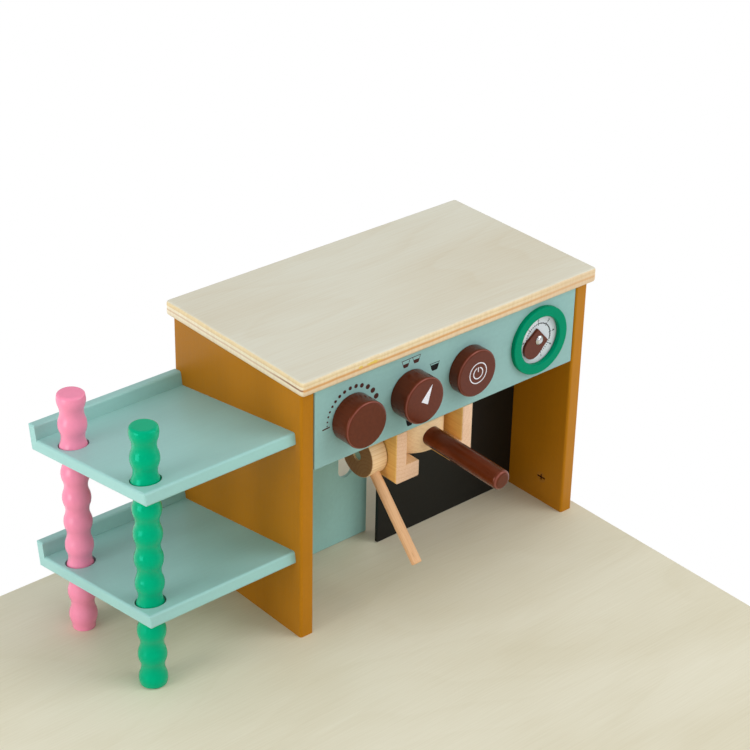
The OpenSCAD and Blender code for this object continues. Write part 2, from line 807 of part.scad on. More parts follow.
// Cross dowels with a tapped hole for the bolts that come up through the worktop
module barrel_nuts() {
    color(brown) placed() for (y = bolt_ys) {
        barrel_nut(inner_l, y, side_t / 2, [180, 0, 180]);
        barrel_nut(inner_r, y, housing_w - side_t / 2, [0, 0, 0]);
    }
}

// One barrel nut that starts at a face and runs into the board
module barrel_nut(face, y, hole_x, turn) {
    difference() {
        translate([face, y, nut_z]) rotate(turn) difference() {
            rod_x(0, nut_l, nut_r);
            for (cut = [[0, slot_l], [90, cross_l]]) rotate([cut.x, 0, 0])
                translate([-eps, -cut.y / 2, -cross_w / 2]) cube([cross_d + eps, cut.y, cross_w]);
        }
        translate([hole_x, y, nut_z - 2 * nut_r]) cylinder(r = nut_hole_r, h = 4 * nut_r);
    }
}

left_side_panel();
right_side_panel();
top_panel();
front_fascia();
bay_ceiling();
black_sliding_door();
mint_sliding_door();
left_holder_rail();
right_holder_rail();
strength_knob();
selector_knob();
power_knob();
strength_knob_screw();
selector_knob_screw();
power_knob_screw();
gauge_ring();
gauge_dial();
gauge_pointer();
gauge_rivet();
portafilter_head();
portafilter_handle();
steam_wand_hub();
steam_wand_rod();
steam_wand_pin();
upper_shelf();
upper_shelf_lip();
lower_shelf();
lower_shelf_lip();
front_post();
rear_post();
top_dowels();
fascia_dowels();
ceiling_dowels();
shelf_dowels();
shelf_pins();
rail_screws();
barrel_nuts();
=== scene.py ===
import math

import bmesh
import bpy
from mathutils import Matrix, Quaternion, Vector

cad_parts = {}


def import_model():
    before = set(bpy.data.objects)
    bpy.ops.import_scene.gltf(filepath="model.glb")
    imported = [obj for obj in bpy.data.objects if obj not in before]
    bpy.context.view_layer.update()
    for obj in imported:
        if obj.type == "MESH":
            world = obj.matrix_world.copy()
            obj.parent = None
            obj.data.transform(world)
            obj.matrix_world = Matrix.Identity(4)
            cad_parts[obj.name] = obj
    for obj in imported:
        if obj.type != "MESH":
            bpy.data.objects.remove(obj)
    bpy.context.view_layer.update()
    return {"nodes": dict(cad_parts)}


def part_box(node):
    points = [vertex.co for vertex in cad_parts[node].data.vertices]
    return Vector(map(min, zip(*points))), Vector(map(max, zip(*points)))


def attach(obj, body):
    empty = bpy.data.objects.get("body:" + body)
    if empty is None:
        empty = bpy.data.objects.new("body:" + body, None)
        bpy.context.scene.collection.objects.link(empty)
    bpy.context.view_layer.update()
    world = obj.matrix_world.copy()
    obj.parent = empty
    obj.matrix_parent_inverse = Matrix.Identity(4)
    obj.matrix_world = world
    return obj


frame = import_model()
node = frame["nodes"]

MM = 0.001
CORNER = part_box("left_side_panel")[0]


def at(x, y, z):
    """A point in millimetres from the left panel's lower front corner, as a point of the row frame."""
    return Vector((CORNER.x + x * MM, CORNER.y + y * MM, z * MM))


def centre(name):
    """The middle of a CAD node's box."""
    lo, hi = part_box(name)
    return (lo + hi) / 2


def before(name, face, aside=0.0, up=0.0):
    """The middle of a CAD node, moved by millimetres and brought to the front of the node named face."""
    spot = centre(name) + Vector((aside, 0, up)) * MM
    spot.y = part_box(face)[0].y
    return spot


def add_object(name, data):
    made = bpy.data.objects.new(name, data)
    bpy.context.scene.collection.objects.link(made)
    return made


def point(thing, place, forward, roll=0.0):
    """Puts a camera or a lamp at a place, looking forward."""
    thing.location = place
    thing.rotation_mode = "QUATERNION"
    thing.rotation_quaternion = forward.to_track_quat("-Z", "Y") @ Quaternion((0, 0, 1), roll)


# ---- camera ----

# Fitted to the photograph's straight edges: eye, lens and sensor in millimetres, angles in degrees
CAM_EYE = (-805.54, -998.08, 943.66)
CAM_AZIMUTH, CAM_ELEVATION, CAM_ROLL = -41.19, 29.24, 1.21
CAM_LENS, CAM_SENSOR = 101.68, 36.0
CAM_NEAR, CAM_FAR = 0.05, 20.0


def make_camera():
    data = bpy.data.cameras.new("camera")
    data.sensor_width, data.lens = CAM_SENSOR, CAM_LENS
    data.clip_start, data.clip_end = CAM_NEAR, CAM_FAR
    a, e = math.radians(CAM_AZIMUTH), math.radians(CAM_ELEVATION)
    forward = Vector((-math.sin(a) * math.cos(e), math.cos(a) * math.cos(e), -math.sin(e)))
    cam = add_object("camera", data)
    point(cam, at(*CAM_EYE), forward, math.radians(CAM_ROLL))
    bpy.context.scene.camera = cam


# ---- node helpers ----

ALONG_X, ALONG_Y, ALONG_Z = (1, 0, 0), (0, 1, 0), (0, 0, 1)
EVEN = (1, 1, 1)

# Noise fields: scale per metre, detail, roughness, and a stretch that is below 1 on the axis of long marks
NOISE = {
    "paint_drift": (16, 2, 0.5, EVEN),
    "paint_mottle": (320, 3, 0.6, EVEN),
    "paint_fibre": (60, 4, 0.6, (0.35, 7, 7)),
    "paint_film": (1300, 2, 0.6, EVEN),
    "wood_sway": (9, 2, 0.5, (0.5, 1, 1)),
    "wood_fine": (55, 3, 0.5, (0.25, 1, 1)),
    "wood_fibre": (900, 3, 0.6, (0.03, 1, 1)),
    "wood_rays": (700, 1, 0.5, (0.11, 1.6, 0.6)),
    "wood_cloud": (22, 2, 0.5, (0.4, 1, 1)),
    "veneer_figure": (5.5, 2, 0.45, (0.28, 1, 1)),
    "veneer_fibre": (800, 3, 0.6, (0.025, 1, 1)),
    "veneer_cloud": (12, 2, 0.5, (0.5, 1, 1)),
    "ply_waver": (30, 2, 0.5, EVEN),
    "ply_drift": (14, 2, 0.5, EVEN),
    "saw_strokes": (420, 3, 0.65, (1, 1, 0.16)),
    "stain_edge": (260, 3, 0.6, EVEN),
    "tool_marks": (1500, 2, 0.6, (1, 0.1, 0.1)),
    "dulling": (500, 3, 0.6, EVEN),
    "ink_film": (1100, 3, 0.6, EVEN),
}
# The range that most of a noise field's values lie in
NOISE_LOW, NOISE_HIGH = 0.3, 0.7


def srgb(code):
    """#RRGGBB as linear red, green and blue."""
    parts = [int(code[i:i + 2], 16) / 255 for i in (1, 3, 5)]
    return [p / 12.92 if p <= 0.04045 else ((p + 0.055) / 1.055) ** 2.4 for p in parts] + [1.0]


def shade(colour, factor):
    return [min(1.0, c * factor) for c in colour[:3]] + [1.0]


class Look:
    """A procedural material, built node by node round one Principled shader."""

    def __init__(self, name, **sockets):
        """sockets holds numbers for the shader's own inputs, with _ for each space in a name."""
        self.material = bpy.data.materials.new(name)
        self.material.use_nodes = True
        self.tree = self.material.node_tree
        self.tree.nodes.clear()
        out = self.add("OutputMaterial")
        self.shader = self.add("BsdfPrincipled")
        self.link(self.shader.outputs[0], out.inputs[0])
        places = self.add("TexCoord")
        self.coords, self.normal = places.outputs["Object"], places.outputs["Normal"]
        for key, value in sockets.items():
            self.shader.inputs[key.replace("_", " ")].default_value = value

    def add(self, kind, inputs=None, **props):
        """A new node, whose inputs are set to numbers or linked to sockets."""
        made = self.tree.nodes.new("ShaderNode" + kind)
        for key, value in props.items():
            setattr(made, key, value)
        for key, value in (inputs or {}).items():
            if isinstance(value, bpy.types.NodeSocket):
                self.link(value, made.inputs[key])
            else:
                made.inputs[key].default_value = value
        return made

    def link(self, a, b):
        self.tree.links.new(a, b)

    def measured_from(self, origin):
        """Coordinates measured from a point in metres."""
        return self.add("VectorMath", {0: self.coords, 1: tuple(origin)}, operation="SUBTRACT").outputs[0]

    def turned(self, along, origin=(0, 0, 0)):
        """Coordinates whose x runs along the grain."""
        angles = Vector(along).normalized().rotation_difference(Vector(ALONG_X)).to_euler()
        moved = self.measured_from(origin)
        return self.add("Mapping", {"Vector": moved, "Rotation": tuple(angles)}).outputs[0]

    def length(self, vector, scale):
        """The length of a vector whose axes are scaled first."""
        scaled = self.add("VectorMath", {0: vector, 1: scale}, operation="MULTIPLY").outputs[0]
        return self.add("VectorMath", {0: scaled}, operation="LENGTH").outputs[1]

    def axis(self, vector, index):
        return self.add("SeparateXYZ", {"Vector": vector}).outputs[index]

    def facing(self, index):
        """How squarely the surface looks along an axis, from 0 to 1."""
        return self.maths("ABSOLUTE", self.axis(self.normal, index))

    def noise(self, vector, field):
        scale, detail, rough, stretch = NOISE[field]
        drawn = self.add("Mapping", {"Vector": vector, "Scale": stretch}).outputs[0]
        return self.add("TexNoise", {"Vector": drawn, "Scale": scale, "Detail": detail,
                                     "Roughness": rough}).outputs[0]

    def maths(self, op, a, b=0.0, clamp=False):
        return self.add("Math", {0: a, 1: b}, operation=op, use_clamp=clamp).outputs[0]

    def span(self, value, lo, hi, out_lo=0.0, out_hi=1.0):
        """A smooth step: out_lo up to lo, and out_hi from hi on."""
        return self.add("MapRange", {"Value": value, "From Min": lo, "From Max": hi, "To Min": out_lo,
                                     "To Max": out_hi}, interpolation_type="SMOOTHSTEP").outputs[0]

    def spread(self, noise, out_lo=0.0, out_hi=1.0):
        """A noise field's usual values, spread over a range."""
        return self.span(noise, NOISE_LOW, NOISE_HIGH, out_lo, out_hi)

    def ramp(self, value, stops):
        """Colours by a number: each stop is a place from 0 to 1 and a colour code or a level of grey."""
        made = self.add("ValToRGB", {"Fac": value})
        elements = made.color_ramp.elements
        while len(elements) < len(stops):
            elements.new(0.5)
        for element, (place, colour) in zip(elements, stops):
            element.position = place
            element.color = srgb(colour) if isinstance(colour, str) else (colour, colour, colour, 1)
        return made.outputs[0]

    def mix(self, fac, a, b, mode="MIX"):
        return self.add("Mix", {0: fac, 6: a, 7: b}, data_type="RGBA", blend_type=mode).outputs[2]

    def bump(self, height, depth, under=None):
        """A bump of a depth in millimetres, on top of the bump called under."""
        inputs = {"Height": height, "Distance": depth * MM, "Strength": 1.0}
        if under is not None:
            inputs["Normal"] = under
        return self.add("Bump", inputs).outputs[0]

    def finish(self, colour, rough, normal):
        self.link(colour, self.shader.inputs["Base Color"])
        self.link(rough, self.shader.inputs["Roughness"])
        self.link(normal, self.shader.inputs["Normal"])
        return self.material


# ---- materials ----

# The steam wand's rod leans by this angle at rest
WAND_LEAN = math.radians(42.5)
ALONG_WAND = (0, math.sin(WAND_LEAN), math.cos(WAND_LEAN))

# The second mustard is a tint of painted shade for the left panel behind its front edge
MUSTARD, MUSTARD_PAINTED_SHADE = "#B67612", "#EEEBD0"
# The second mint is the fascia's: the shelves' mint darkened as painted shade
MINT, MINT_FASCIA_PAINTED_SHADE = "#9CCCC7", "#93BDBA"
# The second brown is a painted highlight for turned rims
BROWN, BROWN_RIM_HIGHLIGHT = "#57250F", "#804A3F"
BLACK = "#131310"
RING_GREEN, POST_GREEN, POST_PINK = "#009069", "#00A878", "#F58FAF"
DIAL_WHITE = "#D8E0E6"
BEECH_PALE, BEECH_DARK = "#FDDDB0", "#DCAA6E"
ROD_PALE, ROD_DARK = "#E8BA89", "#CC905E"
TOP_PALE, TOP_WARM = "#DFDDCC", "#D4CAB1"
CEILING_PALE, CEILING_WARM = "#DDCFAE", "#C9B58E"
FLOOR_PALE, FLOOR_WARM = "#E6E1CB", "#D8D0B4"
RIVET_STEEL, SCREW_STEEL, NUT_RECESS_DARK = "#D8DADC", "#B9BCC0", "#4A1C0C"
PLY_TAN, PLY_LINE, SAW_BROWN = "#DDC09A", "#8A5434", "#B98A52"
STAIN_YELLOW, KNOT_BROWN = "#E5C53C", "#8E7658"
# The rails' end tint is their end grain; their side tint is painted warm bounce light from the mustard panel;
# the hub's end tint is end grain darkened further by painted shade
RAIL_END, RAIL_SIDE_PAINTED_BOUNCE, HUB_END_GRAIN_AND_SHADE = "#F6EFFF", "#FFEEAE", "#A3917A"
PRINT_BROWN, PRINT_BLACK, PRINT_WHITE, PRINT_GREY = "#4A2620", "#0C0E11", "#EDEEF6", "#232B33"

# The top's cut edges: colours by the depth below its face, as shares of its thickness
FRONT_PLIES = ((0.0, "#EFE0BF"), (0.16, "#EAD6AC"), (0.27, "#E6CC9A"), (0.31, "#F0DEBA"), (0.43, "#EDD7AE"),
               (0.5, "#DEA76A"), (0.57, "#D99D58"), (0.66, "#E8D0AA"), (0.97, "#DFC7A2"), (1.0, "#CDB48C"))
SIDE_PLIES = ((0.0, "#ECDCB4"), (0.2, "#E7CF9E"), (0.27, "#DFC296"), (0.31, "#F0E4C8"), (0.46, "#EDE0C4"),
              (0.5, "#DABF9F"), (0.57, "#D8BC9C"), (0.61, "#EFE3C8"), (0.8, "#E4D4B6"), (1.0, "#CDB48C"))
# Levels of grey across one growth ring, from early wood to late wood
RING_TONES = ((0.0, 0.15), (0.55, 0.3), (0.9, 1), (1.0, 0.15))
FIGURE_TONES = ((0.0, 0.1), (0.7, 0.35), (0.93, 0.9), (1.0, 0.1))
# Yellow stains on the top's front edge: place in millimetres, and the fading along each axis, per metre
STAINS = (((61, -4, 216.5), (75, 200, 480)), ((50, -4, 216.5), (300, 200, 480)))


def paint(name, colour, along=ALONG_X, rough=0.42, drift=0.05, grain=0.04, peel=0.012, spec=0.5,
          tint=(1.0, 1.0, 1.0), touch=None):
    """Sprayed satin paint on wood: a slow drift, a fine mottle, orange peel and grain that shows through.

    drift and grain are shares of the colour, peel is a depth in millimetres, spec and tint belong to the
    sheen, and touch is a function that changes the colour in places.
    """
    k = Look(name, Specular_IOR_Level=spec, Specular_Tint=(*tint, 1.0))
    base = srgb(colour)
    board = k.turned(along)
    slow = k.noise(board, "paint_drift")
    mottle = k.noise(board, "paint_mottle")
    fibre = k.noise(board, "paint_fibre")
    film = k.noise(board, "paint_film")
    tone = k.maths("ADD", k.maths("MULTIPLY", slow, 0.6), k.maths("MULTIPLY", mottle, 0.4))
    colour = k.mix(k.spread(tone), shade(base, 1 - drift), shade(base, 1 + drift))
    streak = k.span(fibre, 0.35, 0.65, 1 - grain, 1 + grain * 0.5)
    streak = k.add("CombineXYZ", {0: streak, 1: streak, 2: streak}).outputs[0]
    colour = k.mix(1.0, colour, streak, "MULTIPLY")
    if touch:
        colour = touch(k, colour)
    gloss = k.span(k.maths("ADD", mottle, film), 0.7, 1.3, rough - 0.06, rough + 0.08)
    return k.finish(colour, gloss, k.bump(film, peel, k.bump(fibre, 0.02)))


def dim_behind_front(k, colour):
    """Painted shade: the left panel's paint is darker behind its front edge, where the shelves keep light off
    it.
    """
    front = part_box("left_side_panel")[0].y
    behind = k.span(k.axis(k.coords, 1), front + 15 * MM, front + 45 * MM)
    return k.mix(behind, colour, srgb(MUSTARD_PAINTED_SHADE), "MULTIPLY")


def ring_joint(k, colour):
    """Painted shade: a thin dark band low on the wall of the ring's hole, next to the dial."""
    lo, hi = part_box("gauge_ring")
    off = k.length(k.measured_from(centre("gauge_ring")), (1, 0, 1))
    inner = k.maths("LESS_THAN", off, (hi.x - lo.x) * 0.4)
    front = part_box("gauge_dial")[0].y
    deep = k.span(k.axis(k.coords, 1), front - 1.1 * MM, front - 0.5 * MM)
    return k.mix(k.maths("MULTIPLY", inner, deep), colour, shade(srgb(RING_GREEN), 0.12))


def worn_rims(k, colour):
    """Painted highlight: a paler tone on turned rims, the surface between a knob's front and its side."""
    ahead = k.facing(1)
    rim = k.maths("MULTIPLY", k.span(ahead, 0.45, 0.7), k.span(ahead, 0.8, 0.95, 0.9, 0.0))
    return k.mix(rim, colour, srgb(BROWN_RIM_HIGHLIGHT))


def wood(name, along, pale=BEECH_PALE, dark=BEECH_DARK, pith=(0, 0.06, 0.09), ring=2.6, contrast=1.0,
         fleck=0.5, faces=()):
    """Planed wood as a solid: growth rings round a pith, fibres along the grain, pores and short ray flecks.

    pith is a point in metres, and ring is the growth rings' width in millimetres. faces tints the faces that
    look along an axis: end grain and side grain differ, and some tints are painted light, such as warm
    bounce light on the rails' sides and painted shade on the hub's end faces.
    """
    k = Look(name)
    pale, dark = srgb(pale), srgb(dark)
    board = k.turned(along, pith)
    reach = k.length(board, (0, 1, 1))
    reach = k.maths("ADD", reach, k.maths("MULTIPLY", k.noise(board, "wood_sway"), 22 * MM))
    reach = k.maths("ADD", reach, k.maths("MULTIPLY", k.noise(board, "wood_fine"), 3 * MM))
    late = k.ramp(k.maths("FRACT", k.maths("DIVIDE", reach, ring * MM)), RING_TONES)
    fibre = k.noise(board, "wood_fibre")
    rays = k.noise(board, "wood_rays")
    cloud = k.noise(board, "wood_cloud")
    tone = k.maths("MULTIPLY", k.axis(late, 0), 0.5 * contrast)
    tone = k.maths("ADD", tone, k.spread(fibre, -0.12, 0.2))
    tone = k.maths("ADD", tone, k.spread(cloud, -0.05, 0.25), clamp=True)
    specks = k.span(rays, 0.66, 0.76, 0.0, fleck)
    colour = k.mix(specks, k.mix(tone, pale, dark), shade(dark, 0.72))
    for index, tint in faces:
        colour = k.mix(k.span(k.facing(index), 0.55, 0.9), colour, srgb(tint), "MULTIPLY")
    gloss = k.span(k.maths("ADD", fibre, specks), 0.3, 0.9, 0.47, 0.62)
    return k.finish(colour, gloss, k.bump(k.maths("SUBTRACT", 1.0, specks), 0.02, k.bump(fibre, 0.03)))


def veneer_tone(k, board, line):
    """The soft contour figure of rotary-cut birch as one number, and its fibres; line is its strength."""
    field = k.noise(board, "veneer_figure")
    figure = k.ramp(k.maths("FRACT", k.maths("MULTIPLY", field, 17.0)), FIGURE_TONES)
    fibre = k.noise(board, "veneer_fibre")
    cloud = k.noise(board, "veneer_cloud")
    tone = k.maths("MULTIPLY", k.axis(figure, 0), 0.32 * line)
    tone = k.maths("ADD", tone, k.spread(fibre, -0.1, 0.16))
    return k.maths("ADD", tone, k.spread(cloud, 0.0, 0.5), clamp=True), fibre


def veneer(name, pale, warm, line, smooth, rough):
    """The face of birch plywood, from its smoothest to its roughest fibre."""
    k = Look(name)
    tone, fibre = veneer_tone(k, k.turned(ALONG_X), line)
    colour = k.mix(tone, srgb(pale), srgb(warm))
    return k.finish(colour, k.spread(fibre, smooth, rough), k.bump(fibre, 0.02))


def cut_plies(k, part):
    """The colours on the top's front and side edges, where part is the share of its thickness."""
    front, side = k.ramp(part, FRONT_PLIES), k.ramp(part, SIDE_PLIES)
    # Towards the right the front's plies turn tan
    drift = k.maths("MULTIPLY", k.noise(k.coords, "ply_drift"), 120 * MM)
    drift = k.maths("ADD", k.axis(k.coords, 0), drift)
    front = k.mix(k.span(drift, at(180, 0, 0).x, at(330, 0, 0).x, 0.0, 0.55), front, srgb(PLY_TAN))
    # On the left a brown line shows in the core near the front corner
    core = k.span(k.maths("ABSOLUTE", k.maths("SUBTRACT", part, 0.54)), 0.03, 0.08, 1.0, 0.0)
    near = k.span(k.axis(k.coords, 1), at(0, 2, 0).y, at(0, 42, 0).y, 0.9, 0.0)
    side = k.mix(k.maths("MULTIPLY", core, near), side, srgb(PLY_LINE))
    return k.mix(k.span(k.facing(0), 0.45, 0.8), front, side)


def glue_stains(k):
    """Small stains with ragged edges, as a mask."""
    near = [k.length(k.measured_from(at(*place)), fade) for place, fade in STAINS]
    blot = k.maths("ADD", k.maths("MINIMUM", *near), k.noise(k.coords, "stain_edge"))
    return k.span(blot, 0.9, 1.3, 0.8, 0.0)


def knots(k, board):
    """A few tiny knots and mineral specks, as a mask: a spot in the middle of some cells."""
    stretched = k.add("Mapping", {"Vector": board, "Scale": (0.7, 1.0, 1.0)}).outputs[0]
    cells = k.add("TexVoronoi", {"Vector": stretched, "Scale": 30.0})
    spot = k.span(cells.outputs["Distance"], 0.012, 0.04, 1.0, 0.0)
    chosen = k.span(k.axis(cells.outputs["Color"], 0), 0.62, 0.66)
    return k.maths("MULTIPLY", k.maths("MULTIPLY", spot, chosen), 0.55)


def plywood_top():
    """Birch plywood whose rounded edges cut through its plies: the colour goes by depth below the face."""
    lo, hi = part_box("top_panel")
    thick = hi.z - lo.z
    k = Look("plywood_top")
    board = k.turned(ALONG_X)
    tone, fibre = veneer_tone(k, board, 0.7)
    face = k.mix(tone, srgb(TOP_PALE), srgb(TOP_WARM))
    depth = k.maths("SUBTRACT", hi.z, k.axis(k.coords, 2))
    depth = k.maths("ADD", depth, k.spread(k.noise(k.coords, "ply_waver"), -0.25 * MM, 0.25 * MM))
    plies = cut_plies(k, k.maths("DIVIDE", depth, thick, clamp=True))
    strokes = k.noise(k.coords, "saw_strokes")
    plies = k.mix(k.span(strokes, 0.35, 0.7, 0.0, 0.16), plies, srgb(SAW_BROWN))
    plies = k.mix(glue_stains(k), plies, srgb(STAIN_YELLOW))
    colour = k.mix(k.span(depth, 0.25 * MM, 0.9 * MM), face, plies)
    colour = k.mix(k.span(depth, thick - 0.6 * MM, thick - 0.15 * MM), colour, face)
    colour = k.mix(knots(k, board), colour, srgb(KNOT_BROWN))
    return k.finish(colour, k.spread(fibre, 0.46, 0.6), k.bump(strokes, 0.03, k.bump(fibre, 0.02)))


def metal(name, colour, rough):
    """Turned bare metal with fine tool marks and a little dullness."""
    k = Look(name, Metallic=1.0)
    marks = k.noise(k.turned(ALONG_Z), "tool_marks")
    dull = k.noise(k.coords, "dulling")
    colour = k.mix(k.spread(dull), shade(srgb(colour), 0.86), srgb(colour))
    return k.finish(colour, k.spread(dull, rough - 0.05, rough + 0.09), k.bump(marks, 0.004))


def nut_face():
    """Barrel nuts painted over with their panel, coloured dark red-brown down in the cross recess."""
    k = Look("nut_paint", Specular_IOR_Level=0.3)
    x = k.axis(k.coords, 0)
    left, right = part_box("left_side_panel")[1].x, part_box("right_side_panel")[0].x
    depth = k.maths("MAXIMUM", k.maths("SUBTRACT", left, x), k.maths("SUBTRACT", x, right))
    film = k.noise(k.coords, "dulling")
    base = srgb(MUSTARD)
    coat = k.mix(k.spread(film), shade(base, 0.86), shade(base, 0.98))
    colour = k.mix(k.span(depth, 0.1 * MM, 0.5 * MM), coat, srgb(NUT_RECESS_DARK))
    return k.finish(colour, k.spread(film, 0.38, 0.5), k.bump(film, 0.02))


def ink(name, colour):
    """Screen-printed ink, slightly uneven."""
    k = Look(name, Specular_IOR_Level=0.15)
    film = k.noise(k.coords, "ink_film")
    base = srgb(colour)
    colour = k.mix(k.spread(film), shade(base, 0.88), shade(base, 1.08))
    return k.finish(colour, k.spread(film, 0.45, 0.6), k.bump(film, 0.006))


def dress(look, slot, *names):
    """Gives CAD nodes a material. slot is not used."""
    for n in names:
        mesh = node[n].data
        mesh.materials.clear()
        mesh.materials.append(look)


def dress_painted():
    board = {"along": ALONG_Z, "rough": 0.4, "grain": 0.02}
    amber = {"spec": 0.3, "tint": (1.0, 0.72, 0.2)}
    dress(paint("mustard_satin", MUSTARD, **board, **amber), "mustard_paint", "right_side_panel")
    # The left panel's paint carries painted shade behind its front edge
    dress(paint("mustard_left", MUSTARD, **board, **amber, touch=dim_behind_front), "mustard_paint",
          "left_side_panel")
    dress(paint("black_satin", BLACK, **board, drift=0.08, spec=0.22), "black_paint", "black_sliding_door")
    dress(paint("mint_satin", MINT, rough=0.34, drift=0.03, grain=0.012, peel=0.006, spec=0.3), "mint_paint",
          "upper_shelf", "upper_shelf_lip", "lower_shelf", "lower_shelf_lip", "steam_wand_pin")
    # The fascia gets a darker copy of the mint, as painted shade
    dress(paint("mint_fascia", MINT_FASCIA_PAINTED_SHADE, grain=0.015, spec=0.25), "mint_paint", "front_fascia")
    dress(paint("mint_hardboard", MINT, ALONG_Z, rough=0.45, grain=0.01, spec=0.25), "mint_paint",
          "mint_sliding_door")
    # Knobs, pointer and handle carry a painted highlight on their rims
    dress(paint("brown_satin", BROWN, ALONG_Y, rough=0.19, drift=0.06, grain=0.08, peel=0.006,
                tint=(1.0, 0.4, 0.33), touch=worn_rims), "brown_lacquer",
          "strength_knob", "selector_knob", "power_knob", "gauge_pointer", "portafilter_handle")
    # The gauge ring carries a band of painted shade down in its hole, next to the dial
    dress(paint("ring_satin", RING_GREEN, ALONG_Y, spec=0.05, tint=(0.05, 1.0, 0.75), touch=ring_joint),
          "ring_green", "gauge_ring")
    turned = {"along": ALONG_Z, "drift": 0.03, "grain": 0.01, "peel": 0.002}
    dress(paint("green_satin", POST_GREEN, **turned, rough=0.15, spec=0.45, tint=(0.04, 1.0, 0.75)),
          "post_green", "front_post")
    dress(paint("pink_satin", POST_PINK, **turned, rough=0.18, spec=0.4), "post_pink", "rear_post")
    dress(paint("dial_face", DIAL_WHITE, ALONG_Z, rough=0.5, drift=0.03, grain=0.0, peel=0.004), "dial_white",
          "gauge_dial")
    dress(nut_face(), "nut_brown", "barrel_nuts")


def dress_bare():
    dress(plywood_top(), "birch_plywood", "top_panel")
    dress(veneer("birch_ceiling", CEILING_PALE, CEILING_WARM, 1.0, 0.46, 0.58), "birch_plywood",
          "bay_ceiling")
    # The rails' side faces carry painted warm bounce light
    dress(wood("beech_rails", ALONG_Y, pith=(0.02, 0.0, 0.16), ring=3.4, contrast=0.5, fleck=0.12,
               faces=((1, RAIL_END), (0, RAIL_SIDE_PAINTED_BOUNCE))), "natural_beech",
          "left_holder_rail", "right_holder_rail")
    dress(wood("beech_head", ALONG_X, pith=(0, 0.05, 0.02), contrast=0.3, fleck=0.1), "natural_beech",
          "portafilter_head")
    # The hub's end faces are darkened by painted shade as well as by end grain
    dress(wood("beech_hub", ALONG_X, pith=(0.0, -0.03, 0.1), ring=3.0, contrast=1.1, fleck=0.12,
               faces=((0, HUB_END_GRAIN_AND_SHADE),)), "natural_beech", "steam_wand_hub")
    dress(wood("beech_dowels", ALONG_X), "natural_beech",
          "top_dowels", "fascia_dowels", "ceiling_dowels", "shelf_dowels")
    dress(wood("rod_wood", ALONG_WAND, ROD_PALE, ROD_DARK, pith=(0.02, 0.02, 0.1), ring=1.9, contrast=0.8),
          "rod_wood", "steam_wand_rod")
    dress(metal("rivet_steel", RIVET_STEEL, 0.24), "bare_steel", "gauge_rivet")
    dress(metal("screw_steel", SCREW_STEEL, 0.35), "bare_steel",
          "strength_knob_screw", "selector_knob_screw", "power_knob_screw", "shelf_pins", "rail_screws")


# ---- prints ----

PRINT = 0.06 * MM

# Angle in degrees and diameter in millimetres of each dot round the strength knob
STRENGTH_DOTS = ((180, 1.1), (172, 1.4), (162, 1.65), (152.5, 1.9), (142, 2.15), (131.5, 2.4), (120, 2.6),
                 (108, 2.85), (95, 3.1), (82, 3.35), (68.5, 3.6), (53, 3.95), (37, 4.3), (21, 4.5))
# The dial's scale: the angle of 0, the step to the next number, the last number, and short ticks in a step
DIAL_FIRST, DIAL_STEP, DIAL_LAST, DIAL_MINORS = 177.0, 42.0, 6, 4
# Millimetres: each tick from one radius to another, and its width; the numbers' radius, height and boldness
LONG_TICK, SHORT_TICK = (11.4, 14.3, 0.62), (12.1, 13.6, 0.46)
DIAL_LINE_R, NUMBER_R, NUMBER_H, NUMBER_BOLD = 12.8, 16.2, 3.4, 0.08


def settle(name, curve, where, look, body, turn=0.0):
    """Turns a filled curve into a mesh, stands it up, puts it on its face and lets it ride."""
    rough = add_object(name + "_outline", curve)
    mesh = bpy.data.meshes.new_from_object(rough.evaluated_get(bpy.context.evaluated_depsgraph_get()))
    bpy.data.objects.remove(rough)
    stand = Matrix.Rotation(math.radians(90), 4, "X") @ Matrix.Rotation(turn, 4, "Z")
    mesh.transform(Matrix.Translation(where + Vector((0, -PRINT / 2, 0))) @ stand)
    mesh.materials.clear()
    mesh.materials.append(look)
    piece = add_object(name, mesh)
    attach(piece, body)


def flat_piece(name, loops, where, look, body):
    """A thin print on a face that looks to the front: outlines in millimetres, x to the right and z up.

    The fill is even-odd, so a loop inside another is a hole.
    """
    curve = bpy.data.curves.new(name, "CURVE")
    curve.dimensions, curve.fill_mode, curve.extrude = "2D", "BOTH", PRINT / 2
    for loop in loops:
        line = curve.splines.new("POLY")
        line.points.add(len(loop) - 1)
        for dot, (x, z) in zip(line.points, loop):
            dot.co = (x * MM, z * MM, 0, 1)
        line.use_cyclic_u = True
    settle(name, curve, where, look, body)


def ring_loop(r, x=0.0, z=0.0, steps=64):
    return [(x + r * math.cos(2 * math.pi * i / steps), z + r * math.sin(2 * math.pi * i / steps))
            for i in range(steps)]


def stroke(x0, z0, x1, z1, w):
    """A straight line of width w as a loop."""
    d = Vector((x1 - x0, z1 - z0)).normalized() * (w / 2)
    return [(x0 - d.y, z0 + d.x), (x1 - d.y, z1 + d.x), (x1 + d.y, z1 - d.x), (x0 + d.y, z0 - d.x)]


def spoke(angle, r0, r1, w):
    """A stroke that points away from the middle."""
    c, s = math.cos(math.radians(angle)), math.sin(math.radians(angle))
    return stroke(r0 * c, r0 * s, r1 * c, r1 * s, w)


def arc_band(r, w0, w1, start, end, steps):
    """An arc whose width grows from w0 to w1, as one closed loop."""
    outer, inner = [], []
    for i in range(steps + 1):
        t = i / steps
        a = math.radians(start + (end - start) * t)
        w = (w0 + (w1 - w0) * t) / 2
        outer.append(((r + w) * math.cos(a), (r + w) * math.sin(a)))
        inner.append(((r - w) * math.cos(a), (r - w) * math.sin(a)))
    return outer + inner[::-1]


